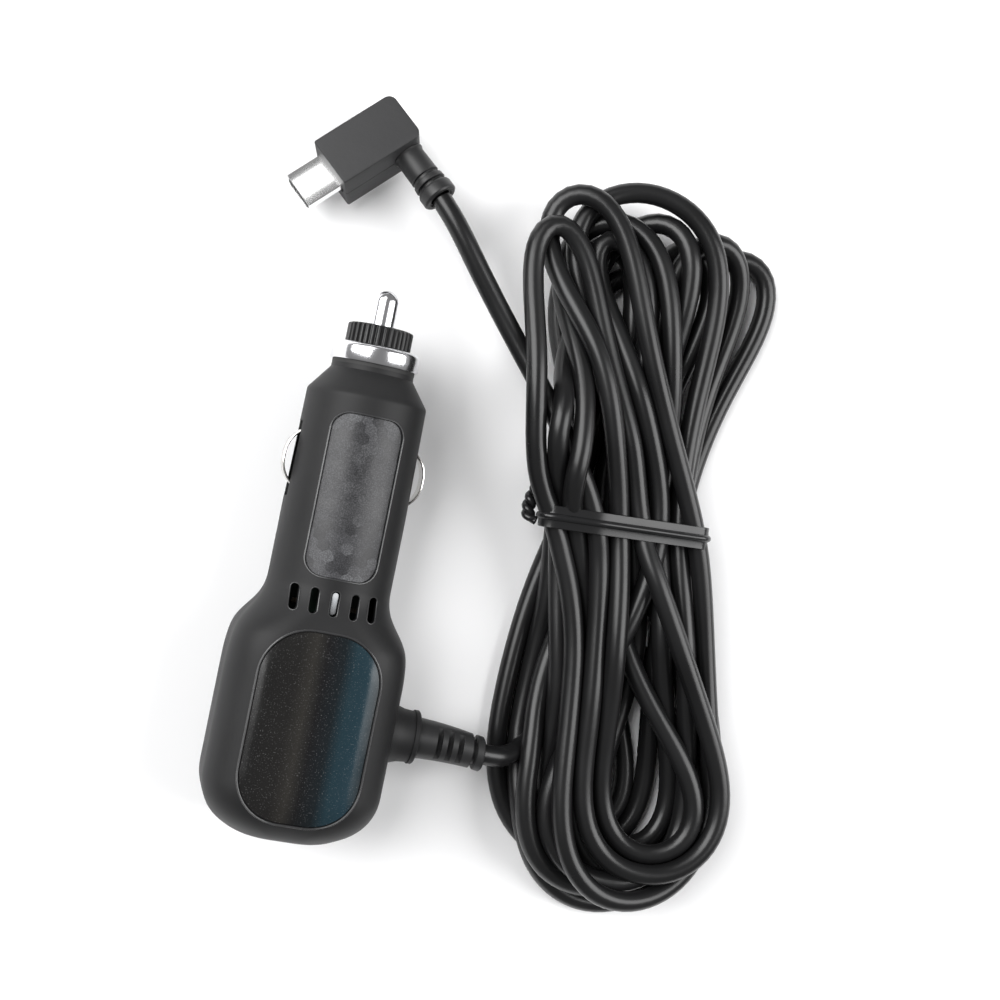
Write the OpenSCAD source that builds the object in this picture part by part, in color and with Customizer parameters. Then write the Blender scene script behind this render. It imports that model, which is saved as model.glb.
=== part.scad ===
// Power adapter for a vehicle accessory socket, with a fixed two-core lead that is tied in a hank
// and ends in a right-angle mini-USB plug. The adapter lies on its broad rear housing, label up.
// Frame: +Y to the nose of the adapter, +Z up, Z = 0 on the table, origin under the middle of the adapter.

/* [Barrel] */
// Diameter of the barrel that goes into the socket
barrel_d = 20.8; // [20.4:0.1:21]
// Wall thickness of the housing
wall = 1.8; // [1.6:0.1:2]
// Length of the adapter from the contact's tip to the rear end
adapter_l = 93.6; // [93:0.2:95]

/* [Rear housing] */
// Width of the rear housing
rear_w = 30.5; // [30:0.1:31.5]
// Thickness of the rear housing, from underside to label
rear_t = 24; // [23.6:0.1:24.6]
// Distance from the contact's tip to the middle of the cable boss
boss_s = 73.2; // [72.6:0.2:74]
// Outer diameter of the cable boss
boss_d = 9; // [8.6:0.1:9.4]
// Distance from the plug's axis to the face of the cable boss
boss_reach = 19.65; // [19.4:0.05:20]

/* [Nose] */
// Diameter of the centre contact
contact_d = 4.2; // [4:0.1:4.4]
// Diameter of the knurled collar
collar_d = 11.1; // [11:0.1:11.3]
// Number of ribs around the collar
collar_ribs = 34; // [24:2:40]
// Diameter of the chrome ring
ring_d = 15; // [14.6:0.1:15.2]
// Diameter of the threaded neck under the collar
neck_d = 8.6; // [8.4:0.1:8.6]
// Diameter of the fuse
fuse_d = 5.2; // [5:0.1:5.4]

/* [Side contacts] */
// Width of each spring strip
strip_w = 3.6; // [3.2:0.1:3.8]
// Thickness of each spring strip
strip_t = 0.4; // [0.3:0.05:0.5]
// Distance from the plug's axis to the top of the strip's bow
strip_reach = 12; // [11.8:0.1:12.2]

/* [Label and grip panel] */
// Width of the front panel
panel_w = 12; // [11:0.2:12.4]
// Width of the rear label
label_w = 20; // [19:0.2:20.6]
// Depth of the recess that holds the rear label
label_depth = 0.6; // [0.5:0.05:0.7]
// Depth of the recess that holds the film on the grip panel
panel_depth = 0.18; // [0.15:0.01:0.19]
// Number of vent slots
vents = 5; // [3:2:5]

/* [Lead] */
// Outer diameter of the lead
lead_d = 3.6; // [3.4:0.1:3.8]
// Length of each strain relief
relief_l = 12; // [11.5:0.1:12.5]
// Height of the hank above the table
hank_h = 15; // [14:0.5:16]

/* [USB plug] */
// Length of the plug's moulded body, without the shell
usb_body_l = 15.8; // [15.4:0.1:16.4]
// Width of the moulded body
usb_body_w = 9.3; // [9.1:0.1:9.6]
// Thickness of the moulded body
usb_body_t = 9; // [8.8:0.1:9.2]
// Width of the metal shell
shell_w = 6.8; // [6.8:0.1:6.9]
// Height of the metal shell
shell_h = 3; // [3:0.1:3.1]
// Length of the shell that shows
shell_l = 6.6; // [6.4:0.1:6.8]

/* [Hidden] */

barrel_r = barrel_d / 2;
inner_r = barrel_r - wall;
neck_r = neck_d / 2;
fuse_r = fuse_d / 2;
axis_z = rear_t / 2;
tip_y = adapter_l / 2;
// The box's middle lies between the boss face and the plain side, so the plug's axis is off to the left
plug_x = (rear_w / 2 - boss_reach) / 2;

// Places along the adapter, measured back from the contact's tip
collar_s = 6.3;
ring_s = 9.8;
washer_s = 12.9;
housing_s = 13.5;
shoulder_s = 18.5;
// The front of the barrel tapers by this much, up to where its straight stretch begins
draft = 0.25;
draft_end_s = 37.5;
cavity_s = 19.5;
flare_s = 50.6;
neck_top_s = 8.3;
panel_s = [21.6, 48.6];
label_s = [57.4, 89.4];
vent_s = 52.6;
spring_s = [29.4, 37.4];
cup_s = [24, 38.4];
hinge_s = 20.4;
hinge_x = 7.6;
board_s = [41, 88];
board_z = -3.2;
board_t = 1.6;
clear = 0.1;

// The housing's outer form is what four outlines share: one turned about the axis, one seen from above,
// one seen from the side and one seen along the axis. Each point is [distance from the axis, place along it].
half_w = rear_w / 2;
half_t = rear_t / 2;
rear_corner = 9.5;
rear_edge = 8;
section_corner = 8;
function arc(centre, r) = [for (i = [0:8]) let(a = 90 * i / 8) centre + r * [cos(a), sin(a)]];
function turned_outline(g, front) = concat(front > 15 ? [[0, front], [barrel_r - g, front]] :
    [[0, front], [ring_d / 2 - 0.4 - g, front], [barrel_r - draft - g, shoulder_s], [barrel_r - g, draft_end_s]],
    [[barrel_r - g, flare_s], [barrel_r + 0.15 - g, 52], [barrel_r + 0.7 - g, 53.6], [barrel_r + 1.8 - g, 55.2],
    [barrel_r + 3.9 - g, 57.2], [barrel_r + 6.2 - g, 59.4], [21, 62.4], [21, 100], [0, 100]]);
function plan_outline(g) = concat([[barrel_r + 0.3 - g, 0], [barrel_r + 0.3 - g, 52.8], [barrel_r + 0.9 - g, 54],
    [barrel_r + 2.4 - g, 56], [half_w - 1.8 - g, 57.2], [half_w - 1 - g, 58.4], [half_w - 0.4 - g, 60],
    [half_w - g, 63]], arc([half_w - rear_corner, adapter_l - rear_corner], rear_corner - g));
function side_outline(g) = concat([[barrel_r + 0.5 - g, 0], [barrel_r + 0.5 - g, 53.6], [half_t - 0.5 - g, 57],
    [half_t - g, 61]], arc([half_t - rear_edge, adapter_l - rear_edge], rear_edge - g));
function both_sides(outline) = concat(outline, [for (i = [len(outline) - 1:-1:0]) [-outline[i][0], outline[i][1]]]);

// The plug's own frame: local +X to the shell, local +Y to the lead's side
usb_yaw = 225;
usb_roll = 21;
usb_at = [-9.4, 70.2, usb_body_t / 2 * cos(usb_roll) + usb_body_w / 2 * sin(usb_roll)];
usb_relief_x = -4.8;
usb_relief_l = 9.8;

// The lead, in the row frame. Each route is a short list of places along a free stretch.
relief_end = [plug_x + boss_reach + relief_l, tip_y - boss_s, axis_z];
ADAPTER_ROUTE = [relief_end + [0.02, 0, 0], relief_end + [1.4, 0, 0], relief_end + [3.6, -0.1, -0.8], [36, -26.8, 9.8]];
PLUG_ROUTE = [usb_out(usb_relief_l + 0.02), usb_out(usb_relief_l + 1.5), [7, 60.1, 12.3], [10.6, 55.4, 12.3],
    [14.2, 51.1, 12], [17.7, 46.9, 12], [21.1, 42.9, 12]];

// The hank's outline: two round ends and a waist where the tie goes
hank_top = [43.6, 50.5];
hank_bottom = [55.4, -29];
hank_end_r = 22.6;
waist_at = [47.3, 15.9];
waist_angle = 2.5;
waist_half = 13.2;
tie_half = 14.3;
tie_w = 4.2;
tie_t = 1;

// Moves a piece of the adapter from its own frame, tip at the origin, to its place on the table
module at_adapter() translate([plug_x, tip_y, axis_z]) children();
// Turns a profile of [radius, distance back from the tip] about the adapter's axis
module turned(profile, sides = 96) rotate([90, 0, 0]) rotate_extrude($fn = sides) polygon(profile);
module at_usb() translate(usb_at) rotate([0, 0, usb_yaw]) rotate([usb_roll, 0, 0]) children();

// A point at distance d along the lead's exit from the plug's body, in the row frame
function usb_out(d) = let(y = usb_body_w / 2 + d, c = cos(usb_roll)) usb_at
    + [usb_relief_x * cos(usb_yaw) - y * c * sin(usb_yaw), usb_relief_x * sin(usb_yaw) + y * c * cos(usb_yaw),
        y * sin(usb_roll)];

function unit(v) = v / norm(v);
function flat_list(lists) = [for (l = lists) for (x = l) x];

// Skin through rings of points, each ring a list of the same length, closed at both ends
module skin(rings) {
    n = len(rings[0]);
    last = len(rings) - 1;
    polyhedron(points = flat_list(rings), faces = concat(
        [[for (j = [0:n - 1]) j]], [[for (j = [n - 1:-1:0]) last * n + j]],
        [for (i = [0:last - 1]) for (j = [0:n - 1]) let(k = (j + 1) % n)
            [i * n + j, (i + 1) * n + j, (i + 1) * n + k, i * n + k]]));
}

// Round tube along a list of points; up is any direction that the route never follows
module tube(points, r, sides = 8, up = [0, 0, 1]) {
    last = len(points) - 1;
    skin([for (i = [0:last])
        let(t = unit(points[min(i + 1, last)] - points[max(i - 1, 0)]), s = unit(cross(t, up)), u = cross(s, t))
        [for (j = [0:sides - 1]) let(a = 360 * j / sides) points[i] + r * (cos(a) * s + sin(a) * u)]]);
}

module rounded_rect(w, l, r) {
    square([w - 2 * r, l], center = true);
    square([w, l - 2 * r], center = true);
    for (x = [-1, 1], y = [-1, 1]) translate([x * (w / 2 - r), y * (l / 2 - r)]) circle(r, $fn = 48);
}

// Prism over a rounded window in the upper skin, from s[0] to s[1] along the adapter
module window(w, s, r, margin = 0) translate([0, -(s[0] + s[1]) / 2, 5]) linear_extrude(10)
    rounded_rect(w - 2 * margin, s[1] - s[0] - 2 * margin, r - margin);

// The housing's outer form from front to its rear end, made smaller all round by inset
module form(inset = 0, front = housing_s) intersection() {
    turned(turned_outline(inset, front));
    translate([0, 0, -20]) linear_extrude(40) mirror([0, 1]) polygon(both_sides(plan_outline(inset)));
    rotate([0, 90, 0]) translate([0, 0, -20]) linear_extrude(40) mirror([0, 1]) polygon(both_sides(side_outline(inset)));
    rotate([90, 0, 0]) linear_extrude(100) rounded_rect(rear_w - 2 * inset, rear_t - 2 * inset, section_corner - inset);
}

module recess(w, s, r, depth) difference() {
    window(w, s, r);
    form(depth);
}

module housing() {
    difference() {
        union() {
            form();
            turned([[0, neck_top_s], [neck_r, neck_top_s], [neck_r, housing_s + 0.5], [0, housing_s + 0.5]]);
            translate([half_w - 2, -boss_s, 0]) rotate([0, 90, 0]) cylinder(d = boss_d, h = boss_reach - half_w + 2, $fn = 64);
            translate([half_w - 1.4, -boss_s, 0]) rotate([0, 90, 0]) cylinder(r1 = 7, r2 = boss_d / 2, h = 2.6, $fn = 64);
        }
        turned([[0, 7], [fuse_r + 0.7, 7], [fuse_r + 0.7, 24], [0, 24]]);
        form(wall, cavity_s);
        translate([0, -boss_s, 0]) rotate([0, 90, 0]) cylinder(r = 3.1, h = 30, $fn = 48);
        for (side = [-1, 1]) translate([side * barrel_r, -30.6, 0]) cube([6, 12.8, strip_w + 0.6], center = true);
        recess(panel_w, panel_s, 3, panel_depth);
        recess(label_w, label_s, 8, label_depth);
        for (i = [0:vents - 1]) rotate([0, 17.5 * (i - (vents - 1) / 2), 0]) translate([0, -vent_s, 6])
            linear_extrude(8) rounded_rect(1.4, 4.2, 0.69);
    }
}

module half(up) intersection() {
    children();
    translate([-40, -adapter_l - 5, up ? 0 : -40]) cube([80, adapter_l + 10, 40]);
}

// Posts that carry the board; the stub of each goes through a hole in the board
post_at = [[-8.5, -61.5], [8.5, -61.5], [-8.5, -84], [8.5, -84]];
module posts(r, z0, z1) intersection() {
    for (p = post_at) translate([p[0], p[1], z0]) cylinder(r = r, h = z1 - z0, $fn = 24);
    form(wall / 2);
}

module housing_top() color([0.13, 0.13, 0.14]) at_adapter() {
    half(true) housing();
    posts(1.6, board_z + board_t + clear, 11);
}
module housing_bottom() color([0.12, 0.12, 0.13]) at_adapter() {
    half(false) housing();
    posts(1.8, -11, board_z);
    posts(0.8, board_z - 0.5, board_z + board_t);
}

// Nose: the collar screws onto the neck, holds the chrome ring and keeps the contact in
module nose_collar() color([0.1, 0.1, 0.1]) at_adapter() difference() {
    root_r = collar_d / 2 - 0.4;
    pitch = 360 / collar_ribs;
    union() {
        turned([[0, collar_s], [root_r - 0.3, collar_s], [root_r, collar_s + 0.3], [root_r, ring_s], [5, ring_s],
            [5, washer_s], [0, washer_s]]);
        rotate([90, 0, 0]) translate([0, 0, collar_s + 0.4]) linear_extrude(ring_s - collar_s - 0.4)
            polygon([for (i = [0:collar_ribs - 1], k = [[0, 0], [0.15, 1], [0.45, 1], [0.6, 0]])
                (root_r - 0.1 + 0.5 * k[1]) * [cos(pitch * (i + k[0])), sin(pitch * (i + k[0]))]]);
    }
    turned([[0, 0], [contact_d / 2 + 0.1, 0], [contact_d / 2 + 0.1, 8], [0, 8]]);
    turned([[0, 7.6], [neck_r + 0.05, 7.6], [neck_r + 0.05, 14], [0, 14]]);
}
module nose_ring() color("silver") at_adapter() turned([[5, ring_s], [ring_d / 2 - 0.9, ring_s],
    [ring_d / 2 - 0.35, ring_s + 0.3], [ring_d / 2, ring_s + 0.9], [ring_d / 2, washer_s], [5, washer_s]]);
module nose_washer() color([0.06, 0.06, 0.06]) at_adapter()
    turned([[neck_r + 0.1, washer_s], [ring_d / 2 - 0.5, washer_s], [ring_d / 2 - 0.5, housing_s], [neck_r + 0.1, housing_s]]);

module center_contact() color("silver") at_adapter() {
    translate([0, -contact_d / 2, 0]) sphere(d = contact_d, $fn = 48);
    turned([[0, contact_d / 2], [contact_d / 2, contact_d / 2], [contact_d / 2, 7.7], [fuse_r + 0.4, 7.7],
        [fuse_r + 0.4, 8.8], [0, 8.8]], 48);
}
module contact_spring() color([0.75, 0.75, 0.78]) at_adapter() {
    coils = 6;
    steps = 16;
    wire_r = 0.3;
    length = spring_s[1] - spring_s[0] - 2 * wire_r;
    tube([for (i = [0:coils * steps]) let(a = 360 * i / steps)
        [2 * cos(a), -spring_s[0] - wire_r - length * i / (coils * steps), 2 * sin(a)]], wire_r, 6, [0, 1, 0]);
}
module fuse_tube() color([0.8, 0.88, 0.88, 0.4]) at_adapter()
    turned([[fuse_r - 0.6, 9.6], [fuse_r - 0.2, 9.6], [fuse_r - 0.2, 28.6], [fuse_r - 0.6, 28.6]], 48);
module fuse_end_caps() color([0.8, 0.8, 0.8]) at_adapter() {
    for (s = [[8.9, 9.5, 14], [29.3, 28.7, 24.2]])
        turned([[0, s[0]], [fuse_r, s[0]], [fuse_r, s[2]], [fuse_r - 0.15, s[2]], [fuse_r - 0.15, s[1]], [0, s[1]]], 48);
}
module fuse_element() color([0.6, 0.6, 0.62]) at_adapter() turned([[0, 9.6], [0.25, 9.6], [0.25, 28.6], [0, 28.6]], 24);
// Brass cup that guides the fuse's rear end and seats the spring
module fuse_cup() color([0.78, 0.62, 0.3]) at_adapter() turned([[fuse_r + 0.4, cup_s[0]], [fuse_r + 0.8, cup_s[0]],
    [fuse_r + 0.8, cup_s[1]], [0, cup_s[1]], [0, cup_s[1] - 0.9], [fuse_r + 0.4, cup_s[1] - 0.9]], 48);

// Bowed spring strip on the right: [distance from the axis, place along the adapter] along its middle line
STRIP = [[hinge_x, hinge_s + 0.2], [7.9, 23], [8.6, 25], [10.1, 26.2], [11.1, 27.4],
    [strip_reach - 0.35, 28.8], [strip_reach - 0.2, 30.4], [strip_reach - 0.35, 32], [11.1, 33.4],
    [10.1, 34.6], [8.7, 35.6], [7.9, 36.4], [7.7, 38]];
module strip(side) {
    side_of = [for (i = [0:len(STRIP) - 1])
        let(d = unit(STRIP[min(i + 1, len(STRIP) - 1)] - STRIP[max(i - 1, 0)])) strip_t / 2 * [d[1], -d[0]]];
    outline = concat([for (i = [0:len(STRIP) - 1]) STRIP[i] + side_of[i]],
        [for (i = [len(STRIP) - 1:-1:0]) STRIP[i] - side_of[i]]);
    translate([0, 0, -strip_w / 2]) linear_extrude(strip_w) polygon([for (p = outline) [side * p[0], -p[1]]]);
    translate([side * hinge_x, -hinge_s, -strip_w / 2]) cylinder(r = 0.35, h = strip_w, $fn = 24);
}
module side_contact_left() color("silver") at_adapter() strip(-1);
module side_contact_right() color("silver") at_adapter() strip(1);
// Plate across the front of the cavity that both strips bear on
module contact_bridge() color([0.78, 0.62, 0.3]) at_adapter()
    turned([[fuse_r + 0.8, cavity_s + 0.05], [inner_r - 0.05, cavity_s + 0.05], [inner_r - 0.05, cavity_s + 0.45],
        [fuse_r + 0.8, cavity_s + 0.45]], 64);

module board_block(w, s0, s1) translate([-w / 2, -s1, board_z]) cube([w, s1 - s0, board_t]);
module circuit_board() color([0.1, 0.35, 0.2]) at_adapter() difference() {
    union() {
        board_block(13, board_s[0], 62);
        board_block(21, 60, board_s[1] - 1.5);
    }
    for (p = post_at) translate([p[0], p[1], board_z - 1]) cylinder(r = 0.9, h = 4, $fn = 24);
}
board_top = board_z + board_t;
module inductor_core() color([0.2, 0.2, 0.21]) at_adapter() translate([0, -77, board_top])
    rotate_extrude($fn = 48) polygon([[0, 0], [5, 0], [5, 1], [2.4, 1], [2.4, 5], [5, 5], [5, 6], [0, 6]]);
module inductor_winding() color([0.72, 0.38, 0.18]) at_adapter() translate([0, -77, board_top])
    rotate_extrude($fn = 48) polygon([[2.45, 1.05], [4.5, 1.05], [4.5, 4.95], [2.45, 4.95]]);
module input_capacitor() color([0.15, 0.2, 0.35]) at_adapter() translate([0, -58, board_top + 3.2]) rotate([90, 0, 0])
    rotate_extrude($fn = 48) polygon([[0, 0], [2.9, 0], [3.15, 0.4], [3.15, 1.6], [2.9, 2], [3.15, 2.4], [3.15, 11], [0, 11]]);
module output_capacitor() color([0.7, 0.7, 0.72]) at_adapter() translate([-7, -73, board_top]) cylinder(r = 2, h = 6, $fn = 48);
module regulator_ic() color([0.08, 0.08, 0.08]) at_adapter() translate([5.2, -66, board_top]) {
    translate([-2, -2.5, 0.2]) cube([4, 5, 1.5]);
    for (side = [-1, 1], i = [0:3]) translate([side * 2.5 - 0.5, i * 1.27 - 2.1, 0]) cube([1, 0.4, 0.6]);
}
module rectifier_diode() color([0.1, 0.1, 0.1]) at_adapter() translate([-6, -66, board_top]) {
    translate([-1.3, -2.2, 0.1]) cube([2.6, 4.4, 2.1]);
    for (side = [-1, 1]) translate([-0.75, side * 2.5 - 0.4, 0]) cube([1.5, 0.8, 0.7]);
}
module chip_parts() color([0.5, 0.42, 0.32]) at_adapter()
    for (p = [[-4.6, -45], [-2.4, -45], [4, -45], [4.8, -48.5], [-4.8, -48.5], [-4.8, -54], [4.8, -54], [4.8, -56.5],
        [7.6, -73], [7.6, -76], [7.6, -79], [-7.6, -79]])
        translate([p[0] - 0.8, p[1] - 0.4, board_top]) cube([1.6, 0.8, 0.6]);
module indicator_led() color([0.85, 0.9, 0.95, 0.8]) at_adapter() translate([0, -vent_s, 0]) {
    translate([0, 0, 2.6]) cylinder(r = 1.5, h = 4, $fn = 32);
    translate([0, 0, 6.6]) sphere(r = 1.5, $fn = 32);
    translate([0, 0, 1.8]) cylinder(r = 1.75, h = 0.8, $fn = 32);
    for (side = [-1, 1]) translate([side * 0.7 - 0.25, -0.25, board_top]) cube([0.5, 0.5, 1.8 - board_top]);
}
module positive_lead() color([0.7, 0.1, 0.1]) at_adapter()
    tube([[0, -cup_s[1] - 0.02, 1.5], [0, -39.2, 1.5], [0.1, -40.4, 1.4], [0.6, -41.6, 0.8], [0.9, -42.2, -0.2],
        [0.9, -42.2, board_top + 0.02]], 0.6, 8, [1, 0, 0]);
module negative_lead() color([0.06, 0.06, 0.07]) at_adapter()
    tube([[0, -19.97, -5.6], [0, -21, -5.6], [0, -26, -6], [0, -38, -6], [0, -41.6, -5.8], [0, -43, -5], [0, -43.2, -4.2],
        [0, -43.2, board_z - 0.02]],
        0.6, 8, [1, 0, 0]);
module output_wires() at_adapter() for (w = [[-1, [0.7, 0.1, 0.1]], [1, [0.9, 0.9, 0.9]]]) color(w[1])
    tube([[12.1, -boss_s + w[0], 0.4], [11.2, -boss_s + w[0], 0.4], [10, -boss_s + w[0], 0.1], [9.5, -boss_s + w[0], -0.8],
        [9.5, -boss_s + w[0], board_top + 0.02]], 0.5, 8, [0, 1, 0]);

// Films that lie in the two recesses
module film(w, s, r, depth, thickness) intersection() {
    window(w, s, r, 0.1);
    difference() {
        form(depth - thickness);
        form(depth);
    }
}
module front_panel_film() color([0.24, 0.24, 0.26]) at_adapter() film(panel_w, panel_s, 3, panel_depth, 0.15);
module rear_label() color([0.16, 0.18, 0.2]) at_adapter() film(label_w, label_s, 8, label_depth, 0.35);

// Strain relief along +X from the origin: a taper with staggered slots, a neck groove and an end ring
module relief(l, r0, r1) {
    ring = 1.3;
    groove = 0.7;
    difference() {
        cylinder(r1 = r0, r2 = r1, h = l, $fn = 48);
        for (i = [0:2]) for (side = [-1, 1]) translate([-5, side > 0 ? lead_d / 2 + 0.25 : -5 - lead_d / 2 - 0.25,
            l - ring - groove - 1.5 - 1.7 * i - (side > 0 ? 0.85 : 0)]) cube([10, 5, 0.8]);
        translate([0, 0, l - ring - groove]) difference() {
            cylinder(r = 8, h = groove, $fn = 48);
            cylinder(r = lead_d / 2 + 0.2, h = groove, $fn = 48);
        }
    }
}
module strain_relief() color([0.08, 0.08, 0.08]) at_adapter() translate([0, -boss_s, 0]) {
    translate([boss_reach, 0, 0]) rotate([90, 0, 90]) relief(relief_l, 3.5, 2.85);
    translate([half_w - 2.4, 0, 0]) rotate([0, 90, 0]) cylinder(r = 3, h = boss_reach - half_w + 2.4, $fn = 48);
    translate([half_w - 3.1, 0, 0]) rotate([0, 90, 0]) cylinder(r = 4.2, h = 0.9, $fn = 48);
}

module cord_adapter_side() color([0.07, 0.07, 0.07]) tube(ADAPTER_ROUTE, lead_d / 2);
module cord_plug_side() color([0.07, 0.07, 0.07]) tube(PLUG_ROUTE, lead_d / 2);

module at_waist() translate([waist_at[0], waist_at[1], 0]) rotate([0, 0, waist_angle]) children();
// The part of the hank that runs through the tie
module tie_core(margin) at_waist() translate([-tie_half - margin, -tie_w, tie_t + 0.1 - margin])
    cube([2 * (tie_half + margin), 2 * tie_w, hank_h - 2 * (tie_t + 0.1 - margin)]);
function hank_end(centre, from) = [for (i = [0:20]) centre + hank_end_r * [cos(from + 10 * i), sin(from + 10 * i)]];
module hank_outline() polygon(concat(hank_end(hank_top, -10), [waist_at - [waist_half, 0]],
    hank_end(hank_bottom, 170), [waist_at + [waist_half, 0]]));
module cord_hank() color([0.07, 0.07, 0.07]) difference() {
    linear_extrude(hank_h - 1) hank_outline();
    difference() {
        at_waist() translate([-25, -tie_w / 2 - 0.2, -1]) cube([50, tie_w + 0.4, hank_h + 2]);
        tie_core(0);
    }
}
module hank_tie() color([0.05, 0.05, 0.05]) {
    difference() {
        at_waist() translate([-tie_half - tie_t, -tie_w / 2, 0]) cube([2 * (tie_half + tie_t), tie_w, hank_h]);
        tie_core(0.05);
    }
    at_waist() translate([-tie_half - tie_t - 1, -tie_w / 2, 10]) rotate([0, -18, 12]) cube([2, 7, 3]);
}

module usb_strain_relief() color([0.08, 0.08, 0.08]) at_usb() translate([usb_relief_x, usb_body_w / 2, 0])
    rotate([-90, 0, 0]) relief(usb_relief_l, 2.5, 2.9);
module usb_plug_body() color([0.15, 0.15, 0.16]) at_usb() difference() {
    translate([0, 0, -usb_body_t / 2]) linear_extrude(usb_body_t) rounded_rect(usb_body_l, usb_body_w, 1);
    translate([usb_body_l / 2 - 2, -shell_w / 2, -shell_h / 2]) cube([3, shell_w, shell_h]);
}
// The shell's outline, with the two lower edges cut away as on any mini-B plug
module shell_outline(g) polygon([[-shell_w / 2 + g, shell_h / 2 - g], [shell_w / 2 - g, shell_h / 2 - g],
    [shell_w / 2 - g, -0.1], [shell_w / 2 - 0.8 - g / 2, -shell_h / 2 + g], [-shell_w / 2 + 0.8 + g / 2, -shell_h / 2 + g],
    [-shell_w / 2 + g, -0.1]]);
module along_shell() translate([usb_body_l / 2, 0, 0]) rotate([90, 0, 90]) children();
module usb_shell() color("silver") at_usb() along_shell() difference() {
    translate([0, 0, -2]) linear_extrude(shell_l + 2) shell_outline(0);
    translate([0, 0, -1.6]) linear_extrude(shell_l + 4) shell_outline(0.3);
}
module usb_insulator() color([0.08, 0.08, 0.08]) at_usb() along_shell() {
    translate([0, 0, -1.55]) linear_extrude(1.5) shell_outline(0.35);
    translate([-2.2, -0.5, -0.1]) cube([4.4, 1, shell_l - 0.6]);
}
module usb_contacts() color([0.85, 0.68, 0.3]) at_usb() along_shell()
    for (i = [-2:2]) translate([0.8 * i - 0.2, 0.5, 0.4]) cube([0.4, 0.12, shell_l - 1.6]);

housing_top();
housing_bottom();
nose_collar();
nose_ring();
nose_washer();
center_contact();
contact_spring();
fuse_tube();
fuse_end_caps();
fuse_element();
fuse_cup();
side_contact_left();
side_contact_right();
contact_bridge();
circuit_board();
inductor_core();
inductor_winding();
input_capacitor();
output_capacitor();
regulator_ic();
rectifier_diode();
chip_parts();
indicator_led();
positive_lead();
negative_lead();
output_wires();
front_panel_film();
rear_label();
strain_relief();
cord_adapter_side();
cord_hank();
cord_plug_side();
hank_tie();
usb_strain_relief();
usb_plug_body();
usb_shell();
usb_insulator();
usb_contacts();
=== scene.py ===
import math

import bmesh
import bpy
import numpy as np
from mathutils import Matrix, Vector


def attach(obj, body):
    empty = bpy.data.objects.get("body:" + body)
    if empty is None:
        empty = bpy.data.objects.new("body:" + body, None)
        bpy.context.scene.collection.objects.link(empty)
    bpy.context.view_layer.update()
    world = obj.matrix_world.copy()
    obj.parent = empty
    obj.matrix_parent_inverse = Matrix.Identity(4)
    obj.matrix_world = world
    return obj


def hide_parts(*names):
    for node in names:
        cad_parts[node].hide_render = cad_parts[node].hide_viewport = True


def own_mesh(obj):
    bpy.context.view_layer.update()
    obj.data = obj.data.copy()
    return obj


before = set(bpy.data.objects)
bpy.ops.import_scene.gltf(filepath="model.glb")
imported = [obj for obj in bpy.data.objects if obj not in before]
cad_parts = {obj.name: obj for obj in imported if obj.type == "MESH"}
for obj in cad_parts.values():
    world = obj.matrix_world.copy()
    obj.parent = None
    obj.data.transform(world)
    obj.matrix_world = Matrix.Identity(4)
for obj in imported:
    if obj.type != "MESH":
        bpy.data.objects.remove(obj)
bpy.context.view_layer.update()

# Everything below is written in millimetres in the part's own frame, and becomes metres where a mesh is made.
MM = 0.001
PLUG_X = -2.2
TIP_Y = 46.8
AXIS_Z = 12.0
LEAD_D = 3.6
LEAD_R = LEAD_D / 2

# ---------------------------------------------------------------- camera

AIM = Vector((0.0265, 0.0161, 0.0))
TILT = math.radians(13)
ROLL = math.radians(11.5)
DISTANCE = 0.3081


def make_camera():
    """Looks down from slightly left of straight above, turned so that the adapter leans to the right."""
    data = bpy.data.cameras.new("camera")
    data.lens = 62.2
    data.sensor_width = 36
    camera = bpy.data.objects.new("camera", data)
    bpy.context.scene.collection.objects.link(camera)
    back = Vector((-math.sin(TILT), 0, math.cos(TILT)))
    up = Vector((0, 1, 0))
    right = up.cross(back).normalized()
    up = back.cross(right)
    turned_right = right * math.cos(ROLL) + up * math.sin(ROLL)
    turned_up = up * math.cos(ROLL) - right * math.sin(ROLL)
    spot = AIM + back * DISTANCE
    turn = Matrix((turned_right, turned_up, back)).transposed().to_4x4()
    camera.matrix_world = Matrix.Translation(spot) @ turn
    bpy.context.scene.camera = camera


make_camera()

# ---------------------------------------------------------------- the lead

WAIST = np.array([47.3, 15.9])
HANK_LEAN = math.radians(11.2)
HANK_U = np.array([math.cos(HANK_LEAN), math.sin(HANK_LEAN)])
HANK_V = np.array([-math.sin(HANK_LEAN), math.cos(HANK_LEAN)])

# Each turn of the hank, lowest first, in the hank's own frame: across it and along it from the middle of
# the tie. A turn is one loop above the tie and one below: height, far end, and radius of the round end.
TOP_LOOPS = [
    (1.8, (1, 48), 6),
    (2.2, (24.5, 50), 7.5),
    (4.0, (11, 50.5), 7),
    (5.0, (-4, 52), 8),
    (5.6, (19.5, 51), 7),
    (6.8, (6.5, 55.5), 6.5),
    (7.6, (-2, 54), 9),
    (9.0, (4, 58), 13),
    (10.0, (-4, 52), 6),
    (11.6, (-9, 58), 7.5),
    (13.2, (-14.5, 53.8), 5.2),
]
LOW_LOOPS = [
    (2.0, (-1, -63.5), 16.5),
    (2.6, (0.5, -64.5), 16.5),
    (3.4, (-6.5, -57.5), 8),
    (4.4, (-1.5, -65), 16.5),
    (5.2, (-3, -58.5), 9.5),
    (6.0, (4.5, -64.5), 15),
    (7.0, (5.5, -59.5), 8),
    (8.4, (-2, -64.5), 15.5),
    (10.0, (6.5, -60.5), 9),
    (11.2, (2.5, -65.5), 14.5),
    (13.4, (6, -62.5), 13),
]
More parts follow.
